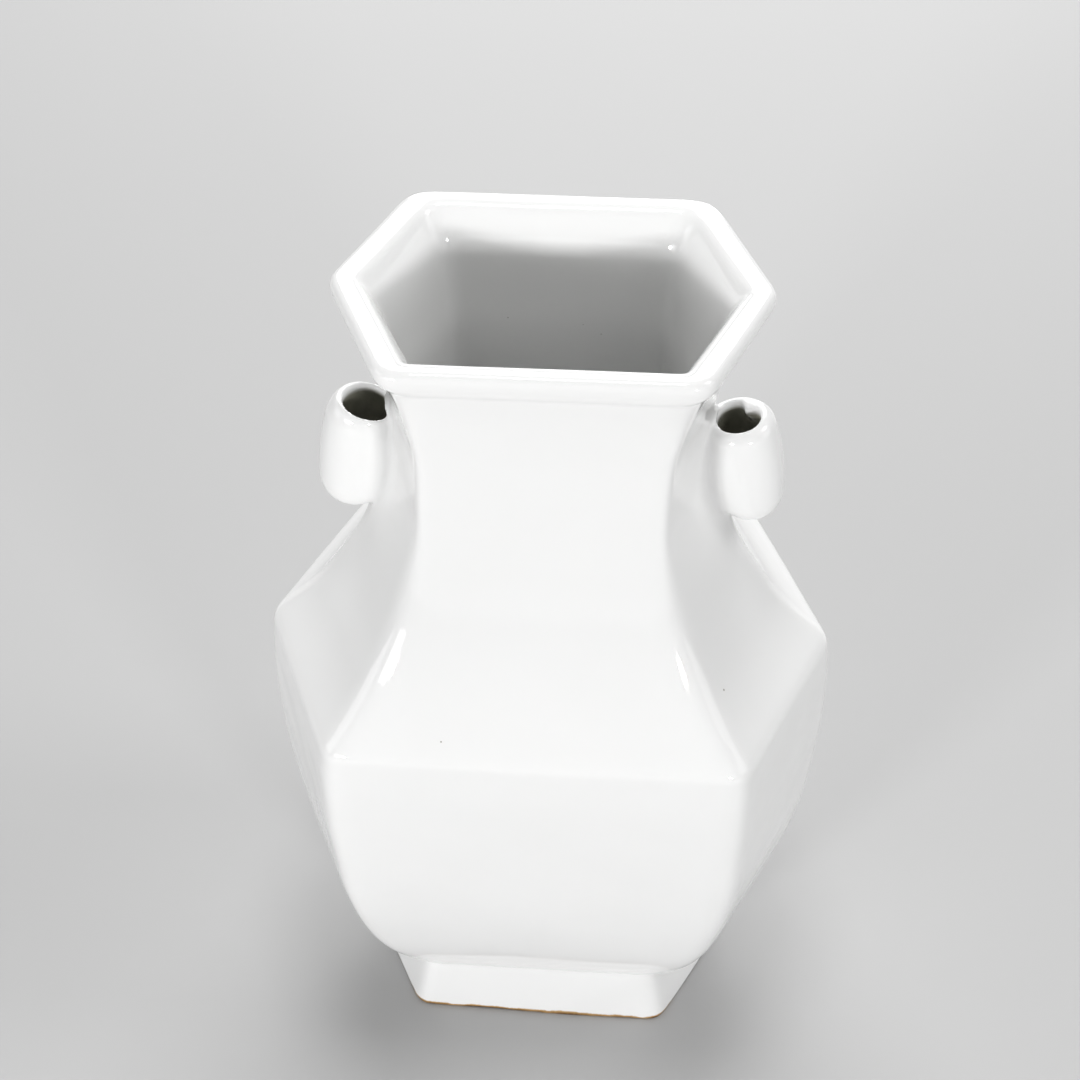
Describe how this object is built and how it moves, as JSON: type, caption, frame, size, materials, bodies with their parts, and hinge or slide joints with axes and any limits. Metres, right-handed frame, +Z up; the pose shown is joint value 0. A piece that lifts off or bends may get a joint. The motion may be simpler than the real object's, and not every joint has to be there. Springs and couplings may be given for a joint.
{
  "type": "glazed vase",
  "caption": "Tall glazed porcelain vase with an elongated six-sided section, flared thick-lipped neck, creased shoulder, flaring foot and tube lugs.",
  "frame": {"origin": "centre of the foot's standing plane, on the vase's upright axis", "axes": "+Z up from the foot to the mouth; X along the wide axis, with a lug at +X and one at -X; the wide front face looks along -Y"},
  "size_m": [0.198, 0.1442, 0.3],
  "materials": {
    "glaze": "glossy clear white glaze over fired porcelain, bare brown edge under the foot"
  },
  "bodies": {
    "root": {"vase": "glaze"}
  },
  "joints": []
}
